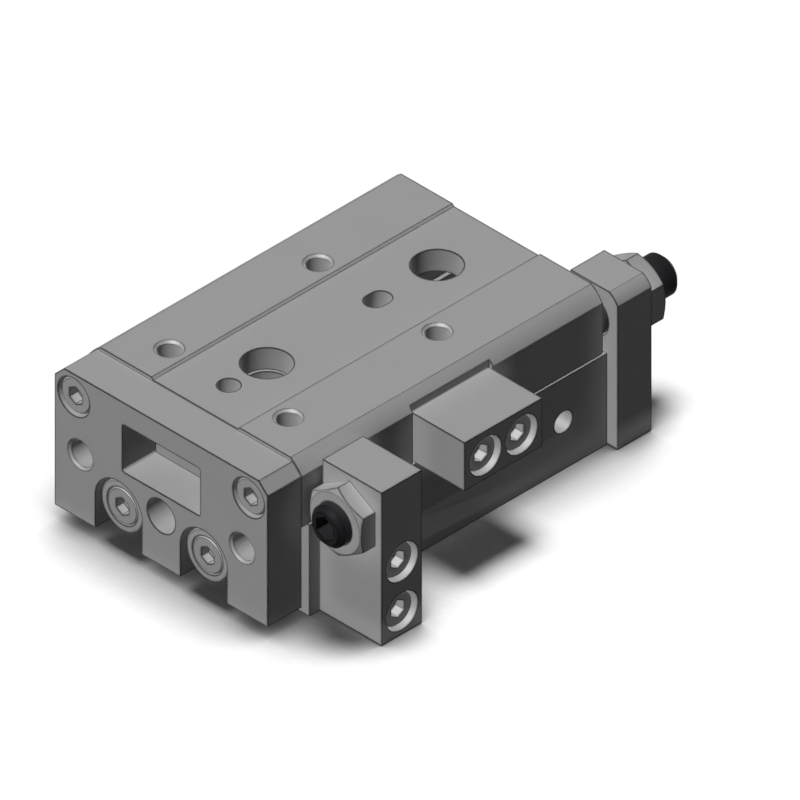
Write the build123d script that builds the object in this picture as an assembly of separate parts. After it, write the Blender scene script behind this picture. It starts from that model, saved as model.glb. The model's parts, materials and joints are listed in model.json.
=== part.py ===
from build123d import *

# Twin-rod air slide table: 12 mm bores, 10 mm stroke, crossed-roller guide and a stroke adjuster
# at each end. Millimetres. X runs across the table, Y from the end plate to the rear, Z up.
# The origin is midway between the two body mounting holes, on the body's bottom face.
# The table is drawn retracted, as it stands when the rear adjuster holds it.
import math
import os

# Body
body_width = 50.0
bore_floor = 3.4
bore_roof = 3.2
mount_pitch = 40.0
mount_hole_diameter = 4.3
mount_thread_mouth = 5.2
front_margin = 15.0
rear_margin = 15.0
base_pin_diameter = 4.0
base_pin_depth = 3.0
base_pin_reach = 8.0
base_pin_slot = 5.0

# Twin cylinders
bore_diameter = 12.0
cylinder_pitch = 20.0
stroke = 10.0
port_core_diameter = 4.2
port_mouth_diameter = 4.9
port_depth = 5.0
passage_diameter = 2.5
front_port_inset = 21.15
rear_port_inset = 9.95
switch_groove_diameter = 4.0
switch_slot_width = 2.6
switch_groove_inset = 2.2
switch_groove_heights = (5.2, 13.6)

# Table
table_clearance = 0.4
table_rear_gap = 1.05
table_web = 4.9
plate_gap = 1.85
edge_chamfer = 2.65
chamfer_crown = 0.22
centre_recess_width = 20.6
centre_recess_depth = 0.43
top_thread_core = 4.2
top_thread_mouth = 5.15
top_thread_spacing_x = 28.0
top_thread_spacing_y = 35.0
top_thread_margin = 7.9
access_diameter = 9.0
table_pin_diameter = 4.0
table_pin_depth = 4.0
table_pin_slot = 5.2

# End plate
plate_thickness = 8.0
plate_bottom = 2.8
plate_top_drop = 0.5
plate_corner = 2.1
window_width = 18.3
window_height = 9.65
window_top_drop = 0.05
window_corner = 0.5
plate_bore_diameter = 6.6
plate_bore_rise = 3.45
plate_thread_core = 5.0
plate_thread_mouth = 5.95
plate_thread_inset = 6.0
plate_thread_rise = 6.45
plate_screw_inset = 4.45
plate_screw_drop = 0.25
rod_slot_width = 11.0
rod_slot_depth = 5.0
neck_slot_width = 5.6

# Crossed-roller guide
roller_diameter = 3.0
roller_length = 2.9
roller_clearance = 0.02
roller_count = 12
roller_pitch = 4.5
guide_inset = 10.0
rail_gap = 0.8
rail_floor = 0.8
rail_shoulder = 1.1
rail_width = 3.3
rail_height = 6.6
rail_margin = 1.4
rail_relief_width = 0.6
rail_relief_depth = 0.3
cage_thickness = 0.5
cage_height = 5.8
cage_window_gap = 0.1
cage_end = 1.0
cage_centre_y = -0.35
guide_block_clearance = 0.25
head_pocket_diameter = 7.4
head_pocket_depth = 5.8
access_ledge_diameter = 8.6
rear_slot_width = 9.3
rear_slot_reach = 0.8
guide_screw_front_inset = 4.5
guide_screw_rear_inset = 6.0
guide_screw_side_inset = 3.3
guide_screw_middle_pitch = 16.0
guide_hole_wall = 0.2

# Piston rods and their floating ends
rod_diameter = 6.0
neck_diameter = 5.0
collar_diameter = 9.85
collar_length = 4.1
collar_head_pocket = 7.25
washer_thickness = 1.2
float_gap = 0.05
rod_end_screw_length = 8.0
rod_end_head_height = 2.6
rod_end_socket_depth = 1.8
collar_edge = 0.2

# Pistons
piston_rear_gap = 5.65
piston_length = 11.5
piston_clearance = 0.08
seal_clearance = 0.03
piston_seal_width = 2.6
piston_seal_bottom = 8.7
piston_seal_lip = 0.55
piston_seal_dip = 0.5
magnet_width = 3.0
groove_play = 0.05
magnet_diameter = 11.2
spigot_diameter = 4.0
rivet_inset = 1.2
rivet_flange = 0.6
rivet_height = 0.8
rivet_play = 0.05
rod_bumper_diameter = 10.4
rod_bumper_thickness = 1.5
head_bumper_inner = 5.8
head_bumper_diameter = 10.0
head_bumper_thickness = 1.05
fit_clearance = 0.02

# Rod covers and head covers
cover_clearance = 0.05
rod_cover_length = 11.0
rod_cover_o_ring_y = 3.85
rod_cover_relief_inner = 7.7
rod_cover_relief_outer = 10.2
rod_cover_relief_depth = 1.5
head_cover_length = 5.5
head_cover_relief_inner = 6.0
head_cover_relief_outer = 9.5
head_cover_relief_depth = 1.0
head_cover_thread_depth = 3.0
head_cover_thread_mouth = 3.1
rod_clearance = 0.05
o_ring_section = 1.2
o_ring_groove_depth = 1.22
o_ring_groove_width = 1.6
rod_seal_diameter = 9.6
rod_seal_length = 2.8
rod_seal_lip = 0.3
seal_end_gap = 0.1
ring_groove_width = 1.0
ring_groove_depth = 0.4
ring_thickness = 0.9
ring_band = 1.1
ring_inset = 1.2
ring_play = 0.05
ring_lug_spacing = 4.4
ring_lug_diameter = 2.0
ring_lug_hole = 0.9
ring_lug_sink = 0.1
ring_opening = 1.6

# Stopper block on the table's right side
stopper_length = 18.3
stopper_setback = 33.7
stopper_width = 12.7
stopper_rise = 0.2
stopper_height = 9.8
stopper_seat_depth = 0.8
stopper_side_gap = 0.2
stopper_screw_pitch = 8.5
stopper_screw_rise = 4.8
stopper_screw_length = 12.0

# Stroke adjusters
adjuster_diameter = 8.0
adjuster_clearance = 0.05
adjuster_length = 18.1
adjuster_socket = 4.0
adjuster_socket_depth = 4.0
adjuster_chamfer = 0.9
adjuster_tip_chamfer = 0.4
bumper_diameter = 7.6
bumper_head = 2.5
bumper_stem_diameter = 3.2
bumper_stem = 3.0
bumper_edge = 0.4
stem_play = 0.2
stop_gap = 0.02
nut_across_flats = 12.0
nut_thickness = 3.5
nut_face_diameter = 11.6
front_holder_setback = 2.35
front_holder_thickness = 9.5
front_holder_width = 14.6
front_holder_low = 0.2
front_holder_over = 8.0
front_holder_inset = 0.75
front_adjuster_reach = 7.2
front_adjuster_rise = 4.0
front_screw_setback = 4.8
rear_holder_width = 11.1
rear_holder_reach = 2.4
rear_holder_low = 0.25
rear_holder_over = 6.45
rear_holder_thickness = 8.0
rear_holder_corner = 2.0
rear_adjuster_inset = 3.65
rear_adjuster_rise = 5.8
rear_screw_inset = 4.0
holder_screw_heights = (4.85, 14.85)

# M4 socket head cap screws
cap_diameter = 4.0
cap_core = 3.3
cap_head = 7.0
cap_head_height = 4.0
cap_socket = 3.0
cap_pocket = 7.5
cap_recess = 1.0
plate_cap_recess = 0.5
cap_hole = 4.4
plate_screw_length = 10.0
front_holder_screw_length = 16.0
rear_holder_screw_length = 10.0
rear_cap_recess = 0.5
head_edge_share = 0.08
thread_gap = 0.02
blind_margin = 1.0

# M3 low head screws of the guide block, and M2 cage stop screws at the guide rails' ends
low_diameter = 3.0
low_core = 2.5
low_head = 5.5
low_head_height = 2.0
low_socket = 2.0
low_socket_depth = 1.2
low_pocket = 5.9
low_head_sink = 0.2
low_hole = 3.4
screw_tip_gap = 0.2
stop_core = 1.6
stop_head = 5.0
stop_head_height = 1.1
stop_socket = 1.3
stop_socket_depth = 0.65
stop_screw_length = 4.0
stop_screw_inset = 2.5
stop_screw_drop = 1.5
stop_seat_gap = 0.3

# Places worked out from the sizes above
CUT = 1.0
half_width = body_width / 2
body_height = bore_floor + bore_diameter + bore_roof
cylinder_height = bore_floor + bore_diameter / 2
body_front = -mount_pitch / 2 - front_margin
body_rear = mount_pitch / 2 + rear_margin
mount_ys = (-mount_pitch / 2, mount_pitch / 2)
cylinder_xs = (-cylinder_pitch / 2, cylinder_pitch / 2)
bore_radius = bore_diameter / 2
base_pin_pitch = mount_pitch + 2 * base_pin_reach
port_ys = (body_front + front_port_inset, body_rear - rear_port_inset)
guide_spacing = body_width - 2 * guide_inset
plate_screw_spacing = body_width - 2 * plate_screw_inset
plate_thread_spacing = body_width - 2 * plate_thread_inset
rail_low = body_height + rail_floor
rail_high = rail_low + rail_height
guide_height = rail_low + rail_height / 2
table_low = body_height + table_clearance
table_under = rail_high + rail_shoulder
table_top = table_under + table_web
table_front = body_front - plate_gap
table_rear = body_rear - table_rear_gap
table_length = table_rear - table_front
plate_front = table_front - plate_thickness
plate_step = plate_front + rod_slot_depth
plate_top = table_top - plate_top_drop
window_high = table_under - window_top_drop
window_low = window_high - window_height
plate_bore_height = cylinder_height + plate_bore_rise
plate_thread_height = cylinder_height + plate_thread_rise
plate_screw_height = table_under - plate_screw_drop
top_thread_ys = (
    table_front + top_thread_margin,
    table_front + top_thread_margin + top_thread_spacing_y,
)
rail_seat = guide_spacing / 2 - rail_gap / 2 - rail_width
table_rail_inner = guide_spacing / 2 + rail_gap / 2
guide_block_top = table_under - guide_block_clearance
rail_length = table_length - 2 * rail_margin
rail_front = -rail_length / 2
rail_rear = rail_length / 2
pocket_top = body_height + head_pocket_depth
low_seat = guide_block_top - low_head_height - low_head_sink
guide_hole_depth = bore_roof - guide_hole_wall
guide_screw_depth = guide_hole_depth - screw_tip_gap
guide_screw_side = rail_seat - guide_screw_side_inset
guide_screw_positions = (
    (0.0, body_front + guide_screw_front_inset),
    (0.0, -guide_screw_middle_pitch / 2),
    (0.0, guide_screw_middle_pitch / 2),
    (-guide_screw_side, body_rear - guide_screw_rear_inset),
    (guide_screw_side, body_rear - guide_screw_rear_inset),
)
groove_half_diagonal = (roller_diameter / 2 + roller_clearance) * math.sqrt(2)
stop_screw_x = guide_spacing / 2 - stop_screw_inset
stop_screw_height = guide_height - stop_screw_drop
table_rail_front = table_front + rail_margin
stopper_seat = half_width - stopper_seat_depth
stopper_face = stopper_seat + stopper_width
stopper_centre_y = body_front + stopper_setback
stopper_front = stopper_centre_y - stopper_length / 2
stopper_low = table_low + stopper_rise
stopper_high = stopper_low + stopper_height
stopper_screw_height = stopper_low + stopper_screw_rise
stopper_screw_ys = (
    stopper_centre_y - stopper_screw_pitch / 2,
    stopper_centre_y + stopper_screw_pitch / 2,
)
cap_pocket_depth = cap_head_height + cap_recess
plate_pocket_depth = cap_head_height + plate_cap_recess
rear_pocket_depth = cap_head_height + rear_cap_recess
front_adjuster_height = stopper_low + front_adjuster_rise
rear_adjuster_height = table_low + rear_adjuster_rise
front_holder_y = body_front + front_holder_setback
front_screw_y = front_holder_y + front_screw_setback
front_adjuster_x = half_width + front_adjuster_reach
rear_holder_right = half_width + rear_holder_reach
rear_holder_left = rear_holder_right - rear_holder_width
rear_adjuster_x = half_width - rear_adjuster_inset
rear_screw_x = half_width - rear_screw_inset
holder_face = half_width + front_holder_width
front_holder_high = front_adjuster_height + front_holder_over
rear_holder_high = rear_adjuster_height + rear_holder_over
rear_holder_face = body_rear + rear_holder_thickness
front_tip = stopper_front - stroke - stop_gap
rear_tip = table_rear + stop_gap
rod_cover_front = body_front + ring_inset + ring_groove_width
head_cover_rear = body_rear - ring_inset - ring_groove_width
piston_rear = head_cover_rear - head_cover_length - piston_rear_gap
piston_front = piston_rear - piston_length
shoulder_y = table_front + float_gap + washer_thickness
collar_front = plate_step - collar_length
piston_land = (piston_length - piston_seal_width - magnet_width) / 3
seal_start = piston_land
magnet_start = 2 * piston_land + piston_seal_width
sides = {"left": -1, "right": 1}


# Basic shapes

def box(x, y, z):
    """A block between the low and high value of each axis."""
    centre = Pos((x[0] + x[1]) / 2, (y[0] + y[1]) / 2, (z[0] + z[1]) / 2)
    return centre * Box(x[1] - x[0], y[1] - y[0], z[1] - z[0])


def bar_x(y, z, x0, x1, diameter):
    """A round bar or hole along X."""
    return Pos((x0 + x1) / 2, y, z) * Rot(0, 90, 0) * Cylinder(diameter / 2, x1 - x0)


def bar_y(x, z, y0, y1, diameter):
    """A round bar or hole along Y."""
    return Pos(x, (y0 + y1) / 2, z) * Rot(90, 0, 0) * Cylinder(diameter / 2, y1 - y0)


def bar_z(x, y, z0, z1, diameter):
    """A round bar or hole along Z."""
    return Pos(x, y, (z0 + z1) / 2) * Cylinder(diameter / 2, z1 - z0)


def slot_z(x, y, z0, z1, width, length):
    """A hole along Z with round ends, longer along Y."""
    reach = (length - width) / 2
    middle = box((x - width / 2, x + width / 2), (y - reach, y + reach), (z0, z1))
    return middle + bar_z(x, y - reach, z0, z1, width) + bar_z(x, y + reach, z0, z1, width)


def prism_y(outline, y0, y1):
    """A solid with one closed outline of X and Z points, from y0 to y1."""
    edge = Polyline(*[(x, y0, z) for x, z in outline], close=True)
    return extrude(make_face(edge), amount=y1 - y0, dir=(0, 1, 0))


def turned(outline):
    """A turned solid about Z from a closed outline of radius and height points."""
    edge = Polyline(*[(r, 0, z) for r, z in outline], close=True)
    return revolve(make_face(edge), Axis.Z)


def ring(inner, outer, low, high):
    """A plain ring about Z, from its two diameters and two heights."""
    inner, outer = inner / 2, outer / 2
    return turned([(inner, low), (outer, low), (outer, high), (inner, high)])


def facing(point, outward):
    """The place of a piece drawn about Z, whose +Z then points outward."""
    across = (1, 0, 0) if outward[0] == 0 else (0, 1, 0)
    return Plane(origin=point, x_dir=across, z_dir=outward).location


def along_y(x, y, z):
    """The place of a piece drawn about Z, whose +Z then points to the rear."""
    return facing((x, y, z), (0, 1, 0))


def mirrored_x(shape):
    """The same piece on the other side of the table's centre plane."""
    return mirror(shape, about=Plane.YZ)


def hexagon_hole(across_flats, top, depth):
    """A hexagon socket cut down from top."""
    side = RegularPolygon(across_flats / math.sqrt(3), 6, rotation=90)
    return Pos(0, 0, top - depth) * extrude(side, amount=depth + CUT)


def joined(pieces):
    """Separate solids of one node."""
    return Compound(children=list(pieces))


# Fasteners

def socket_screw(shank, core, grip, length, head, head_height, socket, socket_depth):
    """A socket screw about Z: its seat at 0, its head above, and its thread drawn at the core."""
    edge = head_height * head_edge_share
    thread = core / 2 - thread_gap
    body = turned([
        (0, -length),
        (thread, -length),
        (thread, -grip),
        (shank / 2, -grip),
        (shank / 2, 0),
        (head / 2, 0),
        (head / 2, head_height - edge),
        (head / 2 - edge, head_height),
        (0, head_height),
    ])
    return body - hexagon_hole(socket, head_height, socket_depth)


def cap_screw(grip, length):
    """An M4 socket head cap screw."""
    depth = cap_head_height / 2
    return socket_screw(
        cap_diameter, cap_core, grip, length, cap_head, cap_head_height, cap_socket, depth
    )


def cap_pocket_cut(grip, depth):
    """The counterbore and clearance hole of an M4 cap screw, its seat at 0."""
    pocket = Pos(0, 0, depth / 2 + CUT / 2) * Cylinder(cap_pocket / 2, depth + CUT)
    hole = Pos(0, 0, -grip / 2) * Cylinder(cap_hole / 2, grip + CUT / 2)
    return pocket + hole


def tapped(core, depth, mouth):
    """A tapped hole drawn at its core, going down from 0, with a 90 degree countersunk mouth."""
    sink = (mouth - core) / 2
    return turned([
        (0, CUT),
        (mouth / 2 + CUT, CUT),
        (mouth / 2, 0),
        (core / 2, -sink),
        (core / 2, -depth),
        (0, -depth - core / 2 * math.tan(math.radians(30))),
    ])


# Body and its covers

def make_body():
    """The aluminium body: two bores, mounting holes, ports, switch grooves and tapped holes."""
    body = box((-half_width, half_width), (body_front, body_rear), (0, body_height))
    ring_groove = bore_diameter + 2 * ring_groove_depth
    for x in cylinder_xs:
        body -= bar_y(x, cylinder_height, body_front - CUT, body_rear + CUT, bore_diameter)
        front = rod_cover_front - ring_groove_width
        body -= bar_y(x, cylinder_height, front, rod_cover_front, ring_groove)
        rear = head_cover_rear + ring_groove_width
        body -= bar_y(x, cylinder_height, head_cover_rear, rear, ring_groove)
    for y in mount_ys:
        body -= bar_z(0, y, -CUT, body_height + CUT, mount_hole_diameter)
        sink = (mount_thread_mouth - mount_hole_diameter) / 2
        body -= Pos(0, y, 0) * Cone(
            mount_thread_mouth / 2, mount_hole_diameter / 2, sink,
            align=(Align.CENTER, Align.CENTER, Align.MIN),
        )
    body -= bar_z(0, -base_pin_pitch / 2, -CUT, base_pin_depth, base_pin_diameter)
    body -= slot_z(
        0, base_pin_pitch / 2, -CUT, base_pin_depth, base_pin_diameter, base_pin_slot
    )
    for y in port_ys:
        place = facing((half_width, y, cylinder_height), (1, 0, 0))
        body -= place * tapped(port_core_diameter, port_depth, port_mouth_diameter)
        body -= bar_x(y, cylinder_height, cylinder_xs[0], half_width - CUT, passage_diameter)
    for z in switch_groove_heights:
        groove_x = switch_groove_inset - half_width
        body -= bar_y(groove_x, z, body_front - CUT, body_rear + CUT, switch_groove_diameter)
        body -= box(
            (-half_width - CUT, groove_x),
            (body_front - CUT, body_rear + CUT),
            (z - switch_slot_width / 2, z + switch_slot_width / 2),
        )
    for x, y in guide_screw_positions:
        body -= bar_z(x, y, body_height - guide_hole_depth, body_height + CUT, low_core)
    for z in holder_screw_heights:
        engaged = front_holder_screw_length - (front_holder_width - cap_pocket_depth)
        depth = engaged + blind_margin
        body -= bar_x(front_screw_y, z, half_width - depth, half_width + CUT, cap_core)
        engaged = rear_holder_screw_length - (rear_holder_thickness - rear_pocket_depth)
        depth = engaged + blind_margin
        body -= bar_y(rear_screw_x, z, body_rear - depth, body_rear + CUT, cap_core)
    return body


def o_ring_groove(y):
    """The outside groove of a cover about Z, with its middle at y."""
    outer = bore_diameter - 2 * cover_clearance
    bottom = bore_diameter - 2 * o_ring_groove_depth - 2 * cover_clearance
    half = o_ring_groove_width / 2
    return ring(bottom, outer + CUT, y - half, y + half)


def o_ring(y):
    """An O-ring in a cover's outside groove, its round section drawn with eight sides."""
    middle = bore_radius - cover_clearance - o_ring_section / 2
    section = Plane.XZ * Pos(middle, y) * RegularPolygon(o_ring_section / 2, 8, rotation=22.5)
    return revolve(section, Axis.Z)


def make_rod_cover(x):
    """The turned cover that guides the rod and carries its seal."""
    outer = bore_diameter - 2 * cover_clearance
    cover = ring(rod_diameter + 2 * rod_clearance, outer, 0, rod_cover_length)
    cover -= o_ring_groove(rod_cover_o_ring_y)
    cover -= ring(rod_diameter, rod_seal_diameter, -CUT, rod_seal_length)
    relief = rod_cover_length - rod_cover_relief_depth
    cover -= ring(rod_cover_relief_inner, rod_cover_relief_outer, relief, rod_cover_length + CUT)
    return along_y(x, rod_cover_front, cylinder_height) * cover


def make_rod_seal(x):
    """The lipped rod seal in the mouth of the rod cover."""
    inner = rod_diameter / 2 + fit_clearance
    outer = rod_seal_diameter / 2 - fit_clearance
    middle = (inner + outer) / 2
    top = rod_seal_length - seal_end_gap
    seal = turned([
        (inner, 0.0),
        (outer, 0.0),
        (outer, top),
        (middle + rod_seal_lip, top),
        (middle, top / 2),
        (middle - rod_seal_lip, top),
        (inner, top),
    ])
    return along_y(x, rod_cover_front, cylinder_height) * seal


def make_head_cover(x):
    """The disc that closes the rear of a bore."""
    outer = bore_diameter - 2 * cover_clearance
    cover = bar_z(0, 0, 0, head_cover_length, outer)
    cover -= o_ring_groove(head_cover_length / 2)
    cover -= ring(
        head_cover_relief_inner, head_cover_relief_outer, -CUT, head_cover_relief_depth
    )
    cover -= Pos(0, 0, head_cover_length) * tapped(
        low_core, head_cover_thread_depth, head_cover_thread_mouth
    )
    return along_y(x, head_cover_rear - head_cover_length, cylinder_height) * cover


def make_retaining_ring(x, y):
    """An inside snap ring with two lugs, its gap at the bottom."""
    outer = bore_radius + ring_groove_depth - ring_play
    inner = outer - ring_band - ring_groove_depth
    plate = Circle(outer) - Circle(inner)
    lug_x = ring_lug_spacing / 2
    lug_y = ring_lug_sink - inner
    for side in (-1, 1):
        plate += Pos(side * lug_x, lug_y) * Circle(ring_lug_diameter / 2)
        plate -= Pos(side * lug_x, lug_y) * Circle(ring_lug_hole / 2)
    opening_height = 2 * (ring_band + ring_lug_diameter)
    plate -= Pos(0, -outer) * Rectangle(ring_opening, opening_height)
    snap = extrude(plate, amount=ring_thickness)
    return facing((x, y + ring_thickness, cylinder_height), (0, -1, 0)) * snap


# Guide

def make_guide_block():
    """The block on the body: seats for two rails, and pockets that let the mounting screws in."""
    flange = guide_spacing / 2 - rail_gap / 2
    outline = [
        (-flange, body_height),
        (flange, body_height),
        (flange, rail_low),
        (rail_seat, rail_low),
        (rail_seat, guide_block_top),
        (-rail_seat, guide_block_top),
        (-rail_seat, rail_low),
        (-flange, rail_low),
    ]
    block = prism_y(outline, rail_front, rail_rear)
    front_y, rear_y = mount_ys
    top = guide_block_top + CUT
    block -= bar_z(0, front_y, body_height - CUT, top, head_pocket_diameter)
    block -= bar_z(0, front_y, pocket_top, top, access_ledge_diameter)
    block -= bar_z(0, rear_y, body_height - CUT, top, head_pocket_diameter)
    block -= box(
        (-head_pocket_diameter / 2, head_pocket_diameter / 2),
        (rear_y, rail_rear + CUT),
        (body_height - CUT, top),
    )
    slot_y = rear_y - rear_slot_reach
    block -= bar_z(0, slot_y, pocket_top, top, rear_slot_width)
    block -= box(
        (-rear_slot_width / 2, rear_slot_width / 2),
        (slot_y, rail_rear + CUT),
        (pocket_top, top),
    )
    for x, y in guide_screw_positions:
        block -= bar_z(x, y, low_seat, top, low_pocket)
        block -= bar_z(x, y, body_height - CUT, top, low_hole)
    return block


def make_guide_screws():
    """The five screws that hold the guide block down."""
    grip = low_seat - body_height
    screw = socket_screw(
        low_diameter, low_core, grip, grip + guide_screw_depth, low_head, low_head_height,
        low_socket, low_socket_depth,
    )
    return joined(Pos(x, y, low_seat) * screw for x, y in guide_screw_positions)


def rail_outline(face, back):
    """A rail's section: a bar with a right-angled groove in its face, towards the rollers."""
    inward = 1 if face > back else -1
    centre = guide_spacing / 2
    apex = centre - inward * groove_half_diagonal
    half_mouth = groove_half_diagonal - rail_gap / 2
    half_relief = rail_relief_width / 2
    relief = apex - inward * rail_relief_depth
    shelf = apex + inward * half_relief
    return [
        (face, rail_low),
        (face, guide_height - half_mouth),
        (shelf, guide_height - half_relief),
        (relief, guide_height - half_relief),
        (relief, guide_height + half_relief),
        (shelf, guide_height + half_relief),
        (face, guide_height + half_mouth),
        (face, rail_high),
        (back, rail_high),
        (back, rail_low),
    ]


def make_guide_rail(side):
    """A hardened rail on the guide block, with a tapped hole in each end for a cage stop."""
    outline = rail_outline(guide_spacing / 2 - rail_gap / 2, rail_seat)
    rail = prism_y(outline, rail_front, rail_rear)
    for outward in (-1, 1):
        place = facing((stop_screw_x, outward * rail_rear, stop_screw_height), (0, outward, 0))
        hole_depth = stop_screw_length + screw_tip_gap
        rail -= place * (Pos(0, 0, -hole_depth / 2) * Cylinder(stop_core / 2, hole_depth))
    return rail if side > 0 else mirrored_x(rail)


def make_table_rail(side):
    """A hardened rail in the table's leg."""
    back = table_rail_inner + rail_width
    rail = prism_y(
        rail_outline(table_rail_inner, back), table_rail_front, table_rail_front + rail_length
    )
    return rail if side > 0 else mirrored_x(rail)


def make_cage_stops():
    """The screws at the ends of the guide rails, whose heads stop the cages."""
    screw = socket_screw(
        stop_core, stop_core, stop_seat_gap, stop_screw_length, stop_head, stop_head_height,
        stop_socket, stop_socket_depth,
    )
    return joined(
        facing((side * stop_screw_x, end * rail_rear, stop_screw_height), (0, end, 0)) * screw
        for side in (-1, 1)
        for end in (-1, 1)
    )


def roller_ys():
    """Where the rollers of a cage stand."""
    first = cage_centre_y - (roller_count - 1) * roller_pitch / 2
    return [first + n * roller_pitch for n in range(roller_count)]


def make_cage(side):
    """The strip between the rails that spaces the rollers."""
    x = side * guide_spacing / 2
    half_length = ((roller_count - 1) * roller_pitch + roller_diameter) / 2 + cage_end
    half_height = cage_height / 2
    cage = box(
        (x - cage_thickness / 2, x + cage_thickness / 2),
        (cage_centre_y - half_length, cage_centre_y + half_length),
        (guide_height - half_height, guide_height + half_height),
    )
    window_y = roller_diameter / 2 + cage_window_gap
    window_z = (roller_diameter + roller_length) / 2 / math.sqrt(2) + cage_window_gap
    for y in roller_ys():
        cage -= box(
            (x - cage_thickness, x + cage_thickness),
            (y - window_y, y + window_y),
            (guide_height - window_z, guide_height + window_z),
        )
    return cage


def make_rollers(side):
    """The rollers of one cage, each crossed to the next."""
    roller = Cylinder(roller_diameter / 2, roller_length)
    x = side * guide_spacing / 2
    return joined(
        Pos(x, y, guide_height) * Rot(0, 45 if n % 2 else -45, 0) * roller
        for n, y in enumerate(roller_ys())
    )


# Table, end plate and stopper

def crowned_corner(x, z, size, crown):
    """The arc of a slightly rounded chamfer, from the top edge to the side edge at x and z."""
    push = crown / math.sqrt(2)
    sign = 1 if x > 0 else -1
    middle = (x - sign * (size / 2 - push), z - size / 2 + push)
    return (x - sign * size, z), middle, (x, z - size)


def make_table():
    """The channel-shaped table that slides over the guide block."""
    recess = centre_recess_width / 2
    floor = table_top - centre_recess_depth
    seat = table_rail_inner + rail_width
    start, middle, end = crowned_corner(half_width, table_top, edge_chamfer, chamfer_crown)
    right = [
        (0, floor),
        (recess - centre_recess_depth, floor),
        (recess, table_top),
        start,
    ]
    rest = [
        end,
        (half_width, table_low),
        (seat, table_low),
        (seat, rail_high),
        (table_rail_inner, rail_high),
        (table_rail_inner, table_under),
        (0, table_under),
        (0, floor),
    ]
    spot = [[(x, table_front, z) for x, z in points] for points in (right, (start, middle, end), rest)]
    edge = Polyline(*spot[0]) + ThreePointArc(*spot[1]) + Polyline(*spot[2])
    half = extrude(make_face(edge), amount=table_length, dir=(0, 1, 0))
    table = half + mirrored_x(half)
    top = table_top + CUT
    for y in top_thread_ys:
        for x in (-top_thread_spacing_x / 2, top_thread_spacing_x / 2):
            place = Pos(x, y, table_top)
            table -= place * tapped(top_thread_core, table_web - CUT, top_thread_mouth)
            table -= bar_z(x, y, rail_high, table_top - CUT, top_thread_core)
    for y in mount_ys:
        table -= bar_z(0, y, table_under - CUT, top, access_diameter)
    pin_floor = floor - table_pin_depth
    table -= bar_z(0, top_thread_ys[0], pin_floor, top, table_pin_diameter)
    table -= slot_z(0, top_thread_ys[1], pin_floor, top, table_pin_diameter, table_pin_slot)
    table -= box(
        (stopper_seat, half_width + CUT),
        (stopper_front - stopper_side_gap, stopper_front + stopper_length + stopper_side_gap),
        (table_low - CUT, top),
    )
    engaged = stopper_screw_length - (stopper_width - cap_pocket_depth)
    for y in stopper_screw_ys:
        reach = stopper_seat - engaged - blind_margin
        table -= bar_x(y, stopper_screw_height, reach, stopper_seat + CUT, cap_core)
    engaged = plate_screw_length - (plate_thickness - plate_pocket_depth)
    for x in (-plate_screw_spacing / 2, plate_screw_spacing / 2):
        table -= bar_y(
            x, plate_screw_height, table_front - CUT, table_front + engaged + blind_margin, cap_core
        )
    return table


def rod_slot(x, width, y0, y1):
    """A slot up from the plate's bottom edge, with a round top on the rod's axis."""
    slot = box(
        (x - width / 2, x + width / 2), (y0, y1), (plate_bottom - CUT, cylinder_height)
    )
    return slot + bar_y(x, cylinder_height, y0, y1, width)


def make_end_plate():
    """The front plate that ties the rods to the table."""
    outline = [
        (-half_width, plate_bottom),
        (half_width, plate_bottom),
        (half_width, plate_top - plate_corner),
        (half_width - plate_corner, plate_top),
        (plate_corner - half_width, plate_top),
        (-half_width, plate_top - plate_corner),
    ]
    plate = prism_y(outline, plate_front, table_front)
    before, behind = plate_front - CUT, table_front + CUT
    window = box(
        (-window_width / 2, window_width / 2), (before, behind), (window_low, window_high)
    )
    plate -= fillet(window.edges().filter_by(Axis.Y), window_corner)
    plate -= bar_y(0, plate_bore_height, before, behind, plate_bore_diameter)
    for x in (-plate_thread_spacing / 2, plate_thread_spacing / 2):
        place = facing((x, plate_front, plate_thread_height), (0, -1, 0))
        plate -= place * tapped(plate_thread_core, plate_thickness - CUT, plate_thread_mouth)
        plate -= bar_y(x, plate_thread_height, plate_front + CUT, behind, plate_thread_core)
    grip = plate_thickness - plate_pocket_depth
    for x in (-plate_screw_spacing / 2, plate_screw_spacing / 2):
        place = facing((x, table_front - grip, plate_screw_height), (0, -1, 0))
        plate -= place * cap_pocket_cut(grip + CUT, plate_pocket_depth)
    for x in cylinder_xs:
        plate -= rod_slot(x, rod_slot_width, before, plate_step)
        plate -= rod_slot(x, neck_slot_width, before, behind)
    return plate


def make_plate_screws():
    """The two screws that hold the end plate to the table."""
    grip = plate_thickness - plate_pocket_depth
    screw = cap_screw(grip, plate_screw_length)
    return joined(
        facing((x, table_front - grip, plate_screw_height), (0, -1, 0)) * screw
        for x in (-plate_screw_spacing / 2, plate_screw_spacing / 2)
    )


def make_stopper_block():
    """The block on the table's side that meets the front adjuster."""
    block = box(
        (stopper_seat, stopper_face),
        (stopper_front, stopper_front + stopper_length),
        (stopper_low, stopper_high),
    )
    grip = stopper_width - cap_pocket_depth
    for y in stopper_screw_ys:
        place = facing((stopper_seat + grip, y, stopper_screw_height), (1, 0, 0))
        block -= place * cap_pocket_cut(grip + CUT, cap_pocket_depth)
    return block


def make_stopper_screws():
    """The two screws that hold the stopper block."""
    grip = stopper_width - cap_pocket_depth
    screw = cap_screw(grip, stopper_screw_length)
    return joined(
        facing((stopper_seat + grip, y, stopper_screw_height), (1, 0, 0)) * screw
        for y in stopper_screw_ys
    )


# Rods and pistons

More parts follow.
